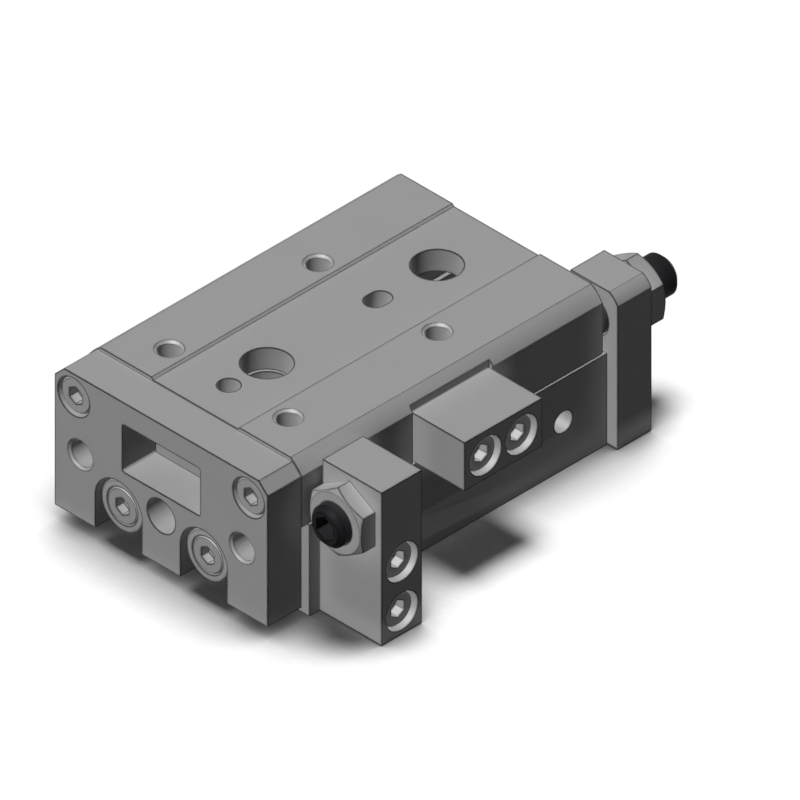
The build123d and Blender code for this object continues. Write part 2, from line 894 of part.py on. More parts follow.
def make_piston_rod(x):
    """A rod from its floating neck to the riveted end in its piston."""
    length = piston_rear - plate_step
    shoulder = shoulder_y - plate_step
    spigot = piston_front - plate_step
    neck, body, end = neck_diameter / 2, rod_diameter / 2, spigot_diameter / 2
    rivet = length - rivet_inset
    flange = end + rivet_flange
    rod = turned([
        (0, 0), (neck, 0), (neck, shoulder), (body, shoulder), (body, spigot), (end, spigot),
        (end, rivet), (flange, rivet), (flange, rivet + rivet_height), (0, rivet + rivet_height),
    ])
    hole_depth = rod_end_screw_length - (collar_length - rod_end_head_height) + blind_margin
    rod -= Pos(0, 0, hole_depth / 2) * Cylinder(cap_core / 2, hole_depth)
    return along_y(x, plate_step, cylinder_height) * rod


def make_collar(x):
    """The collar of a rod's floating end, which holds the plate's step against the washer."""
    floor = rod_end_head_height
    collar = turned([
        (cap_hole / 2, floor),
        (collar_head_pocket / 2, floor),
        (collar_head_pocket / 2, 0),
        (collar_diameter / 2 - collar_edge, 0),
        (collar_diameter / 2, collar_edge),
        (collar_diameter / 2, collar_length),
        (cap_hole / 2, collar_length),
    ])
    return along_y(x, collar_front, cylinder_height) * collar


def make_rod_end_screw(x):
    """The low head screw that holds a collar to its rod."""
    grip = collar_length - rod_end_head_height
    screw = socket_screw(
        cap_diameter, cap_core, grip, rod_end_screw_length, cap_head, rod_end_head_height,
        cap_socket, rod_end_socket_depth,
    )
    place = facing((x, collar_front + rod_end_head_height, cylinder_height), (0, -1, 0))
    return place * screw


def make_thrust_washer(x):
    """The washer between the plate and a rod's shoulder."""
    washer = ring(neck_diameter + 2 * fit_clearance, collar_diameter, 0, washer_thickness)
    return along_y(x, shoulder_y - washer_thickness, cylinder_height) * washer


def make_piston(x):
    """A piston with grooves for its seal and magnet."""
    outer = bore_diameter - 2 * piston_clearance
    piston = ring(spigot_diameter + 2 * fit_clearance, outer, 0, piston_length)
    piston -= ring(piston_seal_bottom, outer + CUT, seal_start, seal_start + piston_seal_width)
    piston -= ring(piston_seal_bottom, outer + CUT, magnet_start, magnet_start + magnet_width)
    recess = spigot_diameter + 2 * (rivet_flange + rivet_play)
    piston -= ring(spigot_diameter, recess, piston_length - rivet_inset, piston_length + CUT)
    return along_y(x, piston_front, cylinder_height) * piston


def make_piston_seal(x):
    """The two-lipped ring that seals a piston in its bore."""
    inner = piston_seal_bottom / 2 + fit_clearance
    outer = bore_radius - seal_clearance
    low, high = groove_play, piston_seal_width - groove_play
    seal = turned([
        (inner, low), (outer, low), (outer, low + piston_seal_lip),
        (outer - piston_seal_dip, piston_seal_width / 2), (outer, high - piston_seal_lip),
        (outer, high), (inner, high),
    ])
    return along_y(x, piston_front + seal_start, cylinder_height) * seal


def make_magnet(x):
    """The switch magnet of a piston."""
    inner = piston_seal_bottom + 2 * fit_clearance
    magnet = ring(inner, magnet_diameter, groove_play, magnet_width - groove_play)
    return along_y(x, piston_front + magnet_start, cylinder_height) * magnet


def make_rod_bumper(x):
    """The soft ring in front of a piston."""
    bumper = ring(rod_diameter + 2 * rod_clearance, rod_bumper_diameter, 0, rod_bumper_thickness)
    return along_y(x, piston_front - rod_bumper_thickness, cylinder_height) * bumper


def make_head_bumper(x):
    """The soft ring behind a piston."""
    bumper = ring(head_bumper_inner, head_bumper_diameter, 0, head_bumper_thickness)
    return along_y(x, piston_rear, cylinder_height) * bumper


# Stroke adjusters

def make_front_holder():
    """The post on the body's right side that carries the front adjuster."""
    rear = front_holder_y + front_holder_thickness
    inner = half_width + front_holder_inset
    outline = [
        (half_width, front_holder_low),
        (holder_face, front_holder_low),
        (holder_face, front_holder_high),
        (inner, front_holder_high),
        (inner, body_height),
        (half_width, body_height),
    ]
    holder = prism_y(outline, front_holder_y, rear)
    holder -= bar_y(
        front_adjuster_x, front_adjuster_height, front_holder_y - CUT, rear + CUT, adjuster_diameter
    )
    grip = front_holder_width - cap_pocket_depth
    for z in holder_screw_heights:
        place = facing((half_width + grip, front_screw_y, z), (1, 0, 0))
        holder -= place * cap_pocket_cut(grip + CUT, cap_pocket_depth)
    return holder


def make_rear_holder():
    """The bar on the body's rear face that carries the rear adjuster."""
    right, top = rear_holder_right, rear_holder_high
    start, middle, end = crowned_corner(right, top, rear_holder_corner, chamfer_crown)
    front = [(x, body_rear, z) for x, z in (start, middle, end)]
    rest = [
        end,
        (right, rear_holder_low),
        (rear_holder_left, rear_holder_low),
        (rear_holder_left, top),
        start,
    ]
    edge = ThreePointArc(*front) + Polyline(*[(x, body_rear, z) for x, z in rest])
    holder = extrude(make_face(edge), amount=rear_holder_thickness, dir=(0, 1, 0))
    holder -= bar_y(
        rear_adjuster_x, rear_adjuster_height, body_rear - CUT, rear_holder_face + CUT,
        adjuster_diameter,
    )
    grip = rear_holder_thickness - rear_pocket_depth
    for z in holder_screw_heights:
        place = facing((rear_screw_x, body_rear + grip, z), (0, 1, 0))
        holder -= place * cap_pocket_cut(grip + CUT, rear_pocket_depth)
    return holder


def make_front_holder_screws():
    """The two screws that hold the front post."""
    grip = front_holder_width - cap_pocket_depth
    screw = cap_screw(grip, front_holder_screw_length)
    return joined(
        facing((half_width + grip, front_screw_y, z), (1, 0, 0)) * screw
        for z in holder_screw_heights
    )


def make_rear_holder_screws():
    """The two screws that hold the rear bar."""
    grip = rear_holder_thickness - rear_pocket_depth
    screw = cap_screw(grip, rear_holder_screw_length)
    return joined(
        facing((rear_screw_x, body_rear + grip, z), (0, 1, 0)) * screw for z in holder_screw_heights
    )


def lock_nut():
    """A thin hexagon nut about Z, standing on 0, with its upper corners turned off."""
    corner = nut_across_flats / math.sqrt(3)
    face = nut_face_diameter / 2
    drop = (corner + CUT - face) * math.tan(math.radians(30))
    hexagon = extrude(RegularPolygon(corner, 6, rotation=90), amount=nut_thickness)
    turning = turned([
        (0, 0), (corner + CUT, 0), (corner + CUT, nut_thickness - drop), (face, nut_thickness),
        (0, nut_thickness),
    ])
    return (hexagon & turning) - bar_z(0, 0, -CUT, nut_thickness + CUT, adjuster_diameter)


def adjuster_screw():
    """An adjuster screw about Z: its outer end up, its bumper seat at the bottom, at 0."""
    length = adjuster_length - bumper_head
    outer = adjuster_diameter / 2 - adjuster_clearance
    screw = turned([
        (0, 0),
        (outer - adjuster_tip_chamfer, 0),
        (outer, adjuster_tip_chamfer),
        (outer, length - adjuster_chamfer),
        (outer - adjuster_chamfer, length),
        (0, length),
    ])
    screw -= hexagon_hole(adjuster_socket, length, adjuster_socket_depth)
    stem = bumper_stem + stem_play
    screw -= Pos(0, 0, stem / 2) * Cylinder(bumper_stem_diameter / 2 + fit_clearance, stem)
    return screw


def bumper():
    """An adjuster's soft tip about Z: its stem up in the screw, its head below 0."""
    head, stem = bumper_diameter / 2, bumper_stem_diameter / 2
    return turned([
        (0, -bumper_head),
        (head - bumper_edge, -bumper_head),
        (head, bumper_edge - bumper_head),
        (head, 0),
        (stem, 0),
        (stem, bumper_stem),
        (0, bumper_stem),
    ])


front_nut_place = facing((front_adjuster_x, front_holder_y, front_adjuster_height), (0, -1, 0))
front_screw_place = facing(
    (front_adjuster_x, front_tip - bumper_head, front_adjuster_height), (0, -1, 0)
)
rear_nut_place = facing((rear_adjuster_x, rear_holder_face, rear_adjuster_height), (0, 1, 0))
rear_screw_place = facing(
    (rear_adjuster_x, rear_tip + bumper_head, rear_adjuster_height), (0, 1, 0)
)


# All nodes

nodes = {
    "body": make_body(),
    "guide_block": make_guide_block(),
    "guide_block_screws": make_guide_screws(),
    "cage_stop_screws": make_cage_stops(),
    "rod_seals": joined(make_rod_seal(x) for x in cylinder_xs),
    "rod_cover_o_rings": joined(
        along_y(x, rod_cover_front, cylinder_height) * o_ring(rod_cover_o_ring_y)
        for x in cylinder_xs
    ),
    "rod_cover_rings": joined(
        make_retaining_ring(x, rod_cover_front - ring_thickness) for x in cylinder_xs
    ),
    "head_cover_o_rings": joined(
        along_y(x, head_cover_rear - head_cover_length, cylinder_height)
        * o_ring(head_cover_length / 2)
        for x in cylinder_xs
    ),
    "head_cover_rings": joined(make_retaining_ring(x, head_cover_rear) for x in cylinder_xs),
    "front_adjuster_holder": make_front_holder(),
    "front_holder_screws": make_front_holder_screws(),
    "front_lock_nut": front_nut_place * lock_nut(),
    "rear_adjuster_holder": make_rear_holder(),
    "rear_holder_screws": make_rear_holder_screws(),
    "rear_lock_nut": rear_nut_place * lock_nut(),
    "table": make_table(),
    "end_plate": make_end_plate(),
    "end_plate_screws": make_plate_screws(),
    "stopper_block": make_stopper_block(),
    "stopper_block_screws": make_stopper_screws(),
    "rod_end_collars": joined(make_collar(x) for x in cylinder_xs),
    "rod_end_screws": joined(make_rod_end_screw(x) for x in cylinder_xs),
    "thrust_washers": joined(make_thrust_washer(x) for x in cylinder_xs),
    "piston_seals": joined(make_piston_seal(x) for x in cylinder_xs),
    "piston_magnets": joined(make_magnet(x) for x in cylinder_xs),
    "rod_bumpers": joined(make_rod_bumper(x) for x in cylinder_xs),
    "head_bumpers": joined(make_head_bumper(x) for x in cylinder_xs),
    "front_adjuster_screw": front_screw_place * adjuster_screw(),
    "front_bumper": front_screw_place * bumper(),
    "rear_adjuster_screw": rear_screw_place * adjuster_screw(),
    "rear_bumper": rear_screw_place * bumper(),
}
for name, side in sides.items():
    x = side * cylinder_pitch / 2
    nodes[f"rod_cover_{name}"] = make_rod_cover(x)
    nodes[f"head_cover_{name}"] = make_head_cover(x)
    nodes[f"piston_rod_{name}"] = make_piston_rod(x)
    nodes[f"piston_{name}"] = make_piston(x)
    nodes[f"guide_rail_{name}"] = make_guide_rail(side)
    nodes[f"table_rail_{name}"] = make_table_rail(side)
    nodes[f"roller_cage_{name}"] = make_cage(side)
    nodes[f"rollers_{name}"] = make_rollers(side)

os.makedirs("parts", exist_ok=True)
for name, shape in nodes.items():
    export_step(shape, f"parts/{name}.step")
print(len(nodes), "nodes written")
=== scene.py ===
"""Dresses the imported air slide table: finishes, lamps, floor and camera.

Metres throughout. X runs across the table, Y from the end plate to the rear, Z up.
"""

import json
import math

import bpy
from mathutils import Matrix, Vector


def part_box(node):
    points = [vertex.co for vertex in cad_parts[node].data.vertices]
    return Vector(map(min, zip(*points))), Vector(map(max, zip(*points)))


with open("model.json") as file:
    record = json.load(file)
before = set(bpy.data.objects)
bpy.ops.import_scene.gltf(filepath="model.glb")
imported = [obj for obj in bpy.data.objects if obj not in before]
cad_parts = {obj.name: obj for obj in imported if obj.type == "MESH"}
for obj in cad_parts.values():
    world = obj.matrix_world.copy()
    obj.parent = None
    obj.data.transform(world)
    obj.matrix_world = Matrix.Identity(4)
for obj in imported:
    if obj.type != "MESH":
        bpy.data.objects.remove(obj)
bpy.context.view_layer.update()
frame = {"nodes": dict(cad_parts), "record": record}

bl_info = {
    "name": "Air slide table looks",
    "version": (1, 0, 0),
    "blender": (4, 5, 0),
    "location": "3D View > Sidebar > Slide Table",
    "description": "Finishes, lamps, floor and camera for the packed slide table",
    "category": "Object",
}

MM = 0.001


# Settings a user would change

class CameraSettings(bpy.types.PropertyGroup):
    """Where the camera stands and how much it takes in."""

    azimuth: bpy.props.FloatProperty(
        name="Azimuth", description="Turn of the camera about Z, from behind the end plate",
        default=math.radians(45), subtype="ANGLE",
    )
    elevation: bpy.props.FloatProperty(
        name="Elevation", description="Height of the camera above the floor, as an angle",
        default=math.atan(1 / math.sqrt(2)), subtype="ANGLE",
    )
    span: bpy.props.FloatProperty(
        name="Span", description="Width of the square that the camera takes in",
        default=132.93 * MM, min=0.01, unit="LENGTH", precision=4,
    )
    aim: bpy.props.FloatVectorProperty(
        name="Aim", description="Point in the middle of the picture",
        default=(5.646 * MM, 5.646 * MM, 14.07 * MM), subtype="TRANSLATION", precision=4,
    )
    distance: bpy.props.FloatProperty(
        name="Distance", description="Distance from the aim to the camera",
        default=0.6, min=0.1, unit="LENGTH",
    )


class LightSettings(bpy.types.PropertyGroup):
    """Lamps, world and floor."""

    key_strength: bpy.props.FloatProperty(
        name="Key", description="Strength of the main lamp, above the front",
        default=3.58, min=0.0,
    )
    key_from: bpy.props.FloatVectorProperty(
        name="Key from", description="Direction that the main lamp stands in",
        default=(0.0, -0.475, 0.88), subtype="DIRECTION",
    )
    glint_strength: bpy.props.FloatProperty(
        name="Glint", description="Strength of the lamp that only gloss answers to",
        default=15.0, min=0.0,
    )
    glint_from: bpy.props.FloatVectorProperty(
        name="Glint from", description="Direction that the glint lamp stands in",
        default=(0.0, -0.538, 0.843), subtype="DIRECTION",
    )
    fill_strength: bpy.props.FloatProperty(
        name="Fill", description="Strength of the low lamp on the left side",
        default=0.8, min=0.0,
    )
    fill_from: bpy.props.FloatVectorProperty(
        name="Fill from", description="Direction that the fill lamp stands in",
        default=(-0.75, -0.25, -0.61), subtype="DIRECTION",
    )
    side_strength: bpy.props.FloatProperty(
        name="Side", description="Strength of the weak lamp in front of the right side",
        default=0.12, min=0.0,
    )
    side_from: bpy.props.FloatVectorProperty(
        name="Side from", description="Direction that the side lamp stands in",
        default=(0.707, -0.707, 0.0), subtype="DIRECTION",
    )
    back_strength: bpy.props.FloatProperty(
        name="Back", description="Strength of the lamp behind the rear face",
        default=1.15, min=0.0,
    )
    back_from: bpy.props.FloatVectorProperty(
        name="Back from", description="Direction that the back lamp stands in",
        default=(-0.2, 0.96, -0.12), subtype="DIRECTION",
    )
    ambient: bpy.props.FloatProperty(
        name="Ambient", description="Light that comes evenly from all round",
        default=0.012, min=0.0, max=1.0,
    )
    floor_strength: bpy.props.FloatProperty(
        name="Floor lamp", description="Strength of the overhead lamp that lights the floor",
        default=3.2, min=0.0,
    )
    floor_spread: bpy.props.FloatProperty(
        name="Floor lamp spread", description="Width of the overhead lamp, which softens shadows",
        default=math.radians(18), subtype="ANGLE",
    )
    floor_from: bpy.props.FloatVectorProperty(
        name="Floor lamp from", description="Direction that the overhead lamp stands in",
        default=(0.0, 0.0, 1.0), subtype="DIRECTION",
    )
    # The contact shade is a shadow painted into the floor's colour from ambient occlusion
    contact: bpy.props.FloatProperty(
        name="Contact shade", description="How far the floor is shaded from the part's foot",
        default=20 * MM, min=0.0, unit="LENGTH", precision=4,
    )
    contact_gain: bpy.props.FloatProperty(
        name="Contact gain", description="How much of the sky may be hidden before the floor dims",
        default=1.2, min=1.0,
    )
    contact_depth: bpy.props.FloatProperty(
        name="Contact depth", description="How quickly the floor darkens towards the part's foot",
        default=2.0, min=0.0,
    )
    floor_least: bpy.props.FloatProperty(
        name="Floor least", description="How light the floor stays in full shadow",
        default=0.035, min=0.0, max=1.0,
    )
    floor_size: bpy.props.FloatProperty(
        name="Floor size", description="Width of the square floor",
        default=6.0, min=1.0, unit="LENGTH",
    )


class FinishSettings(bpy.types.PropertyGroup):
    """Colours and surface values of the finishes."""

    grey: bpy.props.FloatVectorProperty(
        name="Grey", description="Anodised aluminium and plated steel", subtype="COLOR",
        default=(0.30, 0.30, 0.30), min=0.0, max=1.0,
    )
    black: bpy.props.FloatVectorProperty(
        name="Black", description="Black oxide of the adjuster screws", subtype="COLOR",
        default=(0.012, 0.012, 0.014), min=0.0, max=1.0,
    )
    # Edge shade: dark lines painted into the base colour along sharp edges and creases, standing in
    # for shade there
    line_width: bpy.props.FloatProperty(
        name="Edge line", description="How far from a sharp edge its dark line may reach",
        default=0.55 * MM, min=0.0, unit="LENGTH", precision=5,
    )
    edge_shade_depth: bpy.props.FloatProperty(
        name="Edge depth", description="How much darker an edge line is than its surface",
        default=0.85, min=0.0, max=1.0, subtype="FACTOR",
    )
    hollow_width: bpy.props.FloatProperty(
        name="Hollow width", description="How near the walls of a hollow must be for it to gloss",
        default=6 * MM, min=0.0, unit="LENGTH", precision=4,
    )
    hollow_roughness: bpy.props.FloatProperty(
        name="Hollow roughness", description="Roughness of the gloss in holes and pockets",
        default=0.6, min=0.0, max=1.0, subtype="FACTOR",
    )
    # The bounce cut dims the base colour for bounce light: painted shade that keeps hollows and
    # corners dark
    bounce_cut: bpy.props.FloatProperty(
        name="Bounce cut", description="How much less light one surface throws on the next",
        default=0.85, min=0.0, max=1.0, subtype="FACTOR",
    )


# Node trees

MASK_SAMPLES = 8

# The painted edge shade starts where the normal of the rounded shape turns this much from the
# face's, as 1 less the cosine, and a hollow where this share of the sky round a face is hidden
EDGE_START = 0.012
HOLLOW_START = 0.05
EDGE_GAIN = 40.0
HOLLOW_GAIN = 6.0


class Signal:
    """A number that varies over a surface. Arithmetic on it adds Math nodes."""

    def __init__(self, tree, socket):
        self.tree = tree
        self.socket = socket

    def maths(self, operation, *values):
        """The result of one Math node."""
        node = self.tree.node("ShaderNodeMath", {"operation": operation}, dict(enumerate(values)))
        return Signal(self.tree, node.outputs["Value"])

    def __add__(self, other):
        return self.maths("ADD", self, other)

    def __radd__(self, other):
        return self.maths("ADD", other, self)

    def __sub__(self, other):
        return self.maths("SUBTRACT", self, other)

    def __rsub__(self, other):
        return self.maths("SUBTRACT", other, self)

    def __mul__(self, other):
        return self.maths("MULTIPLY", self, other)

    def __rmul__(self, other):
        return self.maths("MULTIPLY", other, self)

    def __pow__(self, other):
        return self.maths("POWER", self, other)

    def __rpow__(self, other):
        return self.maths("POWER", other, self)

    def __abs__(self):
        return self.maths("ABSOLUTE", self)

    def clamped(self):
        """This number held between 0 and 1."""
        return self.maths("MINIMUM", self.maths("MAXIMUM", self, 0.0), 1.0)

    def root(self):
        """The square root of this number."""
        return self.maths("SQRT", self)

    def sine(self):
        """The sine of this number."""
        return self.maths("SINE", self)


class Tree:
    """A node tree under construction."""

    def __init__(self, nodes_of):
        nodes_of.use_nodes = True
        self.tree = nodes_of.node_tree
        self.tree.nodes.clear()

    def node(self, kind, settings=None, inputs=None):
        """Adds a node: its settings first, then the values or links of its sockets."""
        node = self.tree.nodes.new(kind)
        for name, value in (settings or {}).items():
            setattr(node, name, value)
        for name, value in (inputs or {}).items():
            socket = node.inputs[name]
            if isinstance(value, Signal):
                value = value.socket
            if isinstance(value, bpy.types.NodeSocket):
                self.tree.links.new(value, socket)
            else:
                socket.default_value = value
        return node

    def vector_maths(self, operation, *values):
        """The vector that one Vector Math node gives."""
        settings = {"operation": operation}
        node = self.node("ShaderNodeVectorMath", settings, dict(enumerate(values)))
        return node.outputs["Vector"]

    def place(self):
        """The point on the piece, in metres."""
        return self.node("ShaderNodeTexCoord").outputs["Object"]

    def axes(self, vector):
        """The three numbers of a vector."""
        parts = self.node("ShaderNodeSeparateXYZ", inputs={"Vector": vector})
        return [Signal(self, parts.outputs[axis]) for axis in "XYZ"]

    def noise(self, size, detail=2.0, stretch=(1.0, 1.0, 1.0)):
        """A cloudy pattern around 0.5, with spots about as wide as size."""
        squeeze = tuple(1.0 / (size * s) for s in stretch)
        vector = self.vector_maths("MULTIPLY", self.place(), squeeze)
        node = self.node("ShaderNodeTexNoise", inputs={
            "Vector": vector, "Scale": 1.0, "Detail": detail,
        })
        return Signal(self, node.outputs["Fac"])

    def edges(self, width):
        """A mask that is 1 along sharp edges and 0 elsewhere."""
        rounded = self.node("ShaderNodeBevel", {"samples": MASK_SAMPLES}, {"Radius": width})
        flat = self.node("ShaderNodeNewGeometry")
        same = self.node(
            "ShaderNodeVectorMath", {"operation": "DOT_PRODUCT"},
            {0: rounded.outputs["Normal"], 1: flat.outputs["Normal"]},
        )
        turn = 1.0 - Signal(self, same.outputs["Value"])
        return ((turn - EDGE_START) * EDGE_GAIN).clamped()

    def hollows(self, width):
        """A mask that is 1 in holes, pockets and grooves and 0 on open faces."""
        near = self.node(
            "ShaderNodeAmbientOcclusion", {"samples": MASK_SAMPLES}, {"Distance": width}
        )
        hidden = 1.0 - Signal(self, near.outputs["AO"])
        return ((hidden - HOLLOW_START) * HOLLOW_GAIN).clamped()

    def scaled(self, colour, amount):
        """A colour made darker or lighter by a number that varies."""
        node = self.node(
            "ShaderNodeVectorMath", {"operation": "SCALE"}, {0: tuple(colour), "Scale": amount}
        )
        return node.outputs["Vector"]


# Surface textures: each gives a tone around 1, and a height in metres

def swing(pattern, amount):
    """A cloudy pattern as a number around 0, with amount between its ends."""
    return (pattern - 0.5) * amount


def blasted(tree):
    """The fine matt grain of blasted and anodised aluminium."""
    grain_size, grain_height = 0.09 * MM, 0.004 * MM
    cloud_size = 9 * MM
    grain = tree.noise(grain_size, detail=3.0)
    cloud = tree.noise(cloud_size)
    return 1.0 + swing(cloud, 0.05) + swing(grain, 0.04), grain * grain_height


def milled(tree):
    """Fine upright cutter marks."""
    mark_size, mark_height = 0.06 * MM, 0.003 * MM
    cloud_size = 7 * MM
    marks = tree.noise(mark_size, stretch=(1.0, 1.0, 40.0))
    cloud = tree.noise(cloud_size)
    return 1.0 + swing(cloud, 0.04) + swing(marks, 0.06), marks * mark_height


def ground(tree):
    """Fine grinding marks along Y."""
    mark_size, mark_height = 0.04 * MM, 0.002 * MM
    marks = tree.noise(mark_size, stretch=(1.0, 60.0, 1.0))
    return 1.0 + swing(marks, 0.08), marks * mark_height


# Heads of the object's M4 cap screws, and the collars on the rods' ends
CAP_HEAD_RADIUS = 3.5 * MM
COLLAR_RADIUS = 4.925 * MM


def turned(node_name, axis, radius):
    """Turning marks round the axes of the like pieces of a node."""
    ring_pitch, ring_height = 0.22 * MM, 0.0012 * MM
    grain_size, grain_height = 0.08 * MM, 0.003 * MM
    low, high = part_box(node_name)
    middle = (Vector(low) + Vector(high)) / 2
    half = (Vector(high) - Vector(low)) / 2

    def texture(tree):
        point = tree.axes(tree.place())
        squares = 0.0
        for index in range(3):
            if index == axis:
                continue
            from_middle = abs(point[index] - middle[index])
            local = from_middle - max(half[index] - radius, 0.0)
            squares = local * local + squares
        rings = (squares.root() * (2 * math.pi / ring_pitch)).sine()
        grain = tree.noise(grain_size)
        tone = 1.0 + rings * 0.015 + swing(grain, 0.06)
        return tone, rings * ring_height + grain * grain_height
    return texture


def moulded(tree):
    """The soft grain of a moulded part."""
    grain_size, grain_height = 0.25 * MM, 0.006 * MM
    grain = tree.noise(grain_size, detail=3.0)
    return 1.0 + swing(grain, 0.12), grain * grain_height


# Roughness of the matt finishes, and how much any finish's roughness swings
MATT = 0.6
WEAR = 0.08
WEAR_SIZE = 3 * MM
BUMP = 0.5


def make_finish(name, colour, roughness, texture, metallic=0.0, specular=0.05, gloss=1.0):
    """A material with texture, slight wear, painted shade as thin dark lines along its edges and
    creases, a base colour dimmed for bounce light, and gloss in its hollows.
    """
    settings = bpy.context.scene.slide_finish
    material = bpy.data.materials.new(name)
    tree = Tree(material)
    tone, height = texture(tree)
    # Painted shade: dark lines along sharp edges and creases darken the base colour there
    painted_edge_shade = tree.edges(settings.line_width) * settings.edge_shade_depth
    # Painted shade: the base colour is dimmed for bounce light, so hollows, corners and faces
    # beside other parts stay darker than bounce light would leave them
    bounced = Signal(tree, tree.node("ShaderNodeLightPath").outputs["Is Diffuse Ray"])
    kept = 1.0 - bounced * settings.bounce_cut
    colour = tree.scaled(colour, tone * (1.0 - painted_edge_shade) * kept)
    wear = swing(tree.noise(WEAR_SIZE), WEAR)
    bump = tree.node("ShaderNodeBump", inputs={
        "Strength": BUMP, "Distance": 1.0, "Height": height,
    })
    shader = tree.node("ShaderNodeBsdfPrincipled", inputs={
        "Base Color": colour,
        "Roughness": roughness + wear,
        "Metallic": metallic,
        "Specular IOR Level": specular,
        "Coat Weight": tree.hollows(settings.hollow_width) * gloss,
        "Coat Roughness": settings.hollow_roughness,
        "Normal": bump.outputs["Normal"],
    })
    tree.node("ShaderNodeOutputMaterial", inputs={"Surface": shader.outputs["BSDF"]})
    return material


# Faces that meet at a wider angle than this show an edge between them
EDGE_ANGLE = math.radians(20)


def slot_nodes(slot):
    """The names of the CAD nodes with one of the record's material slots."""
    return [part["node"] for part in frame["record"]["subparts"] if part["material_slot"] == slot]


def dress(name, material):
    """Gives a CAD node a material, and shades its faces flat up to each edge."""
    thing = frame["nodes"][name]
    for slot in thing.material_slots:
        slot.material = material
    thing.modifiers.new("edges", "EDGE_SPLIT").split_angle = EDGE_ANGLE
    thing.modifiers.new("faces", "WEIGHTED_NORMAL").weight = 100


# Operators

# Their gloss is strong enough without the glint lamp and the back lamp
BRIGHT_METALS = ("hardened_steel", "hard_chromed_rod")


class SLIDE_OT_camera(bpy.types.Operator):
    """Add the parallel camera at the product picture's angle"""

    bl_idname = "slide_table.camera"
    bl_label = "Camera"

    def execute(self, context):
        settings = context.scene.slide_camera
        flat = math.cos(settings.elevation)
        direction = Vector((
            flat * math.sin(settings.azimuth),
            -flat * math.cos(settings.azimuth),
            math.sin(settings.elevation),
        ))
        data = bpy.data.cameras.new("camera")
        data.type = "ORTHO"
        data.ortho_scale = settings.span
        data.clip_start = 0.01
        data.clip_end = 10.0
        camera = bpy.data.objects.new("camera", data)
        camera.location = Vector(settings.aim) + direction * settings.distance
        camera.rotation_euler = direction.to_track_quat("Z", "Y").to_euler()
        context.scene.collection.objects.link(camera)
        context.scene.camera = camera
        return {"FINISHED"}


KEY_SPREAD = math.radians(4)
GLINT_SPREAD = math.radians(12)
SOFT_SPREAD = math.radians(20)


def add_sun(context, name, strength, source, spread):
    """A sun lamp that shines from a direction."""
    data = bpy.data.lights.new(name, "SUN")
    data.energy = strength
    data.angle = spread
    lamp = bpy.data.objects.new(name, data)
    lamp.rotation_euler = Vector(source).to_track_quat("Z", "Y").to_euler()
    lamp.location = Vector(source) * 0.5
    context.scene.collection.objects.link(lamp)
    return lamp


def link_lamp(lamp, role, objects, state):
    """Includes or excludes objects as the receivers or blockers of a lamp's light."""
    chosen = bpy.data.collections.new(f"{lamp.name}_{role}s")
    for index, thing in enumerate(objects):
        chosen.objects.link(thing)
        chosen.collection_objects[index].light_linking.link_state = state
    setattr(lamp.light_linking, f"{role}_collection", chosen)


def seen_directly(tree):
    """1 for rays from the camera, from gloss and through glass, and 0 for soft light."""
    path = tree.node("ShaderNodeLightPath")
    camera, glossy, through = (
        Signal(tree, path.outputs[name])
        for name in ("Is Camera Ray", "Is Glossy Ray", "Is Transmission Ray")
    )
    return (camera + glossy + through).clamped()


# The floor's height, just under the part, and its colours to the camera and to soft light
FLOOR_LEVEL = -0.02 * MM
FLOOR_WHITE = (0.96, 0.96, 0.96)
FLOOR_DIM = (0.08, 0.08, 0.08, 1.0)
FLOOR_SAMPLES = 16


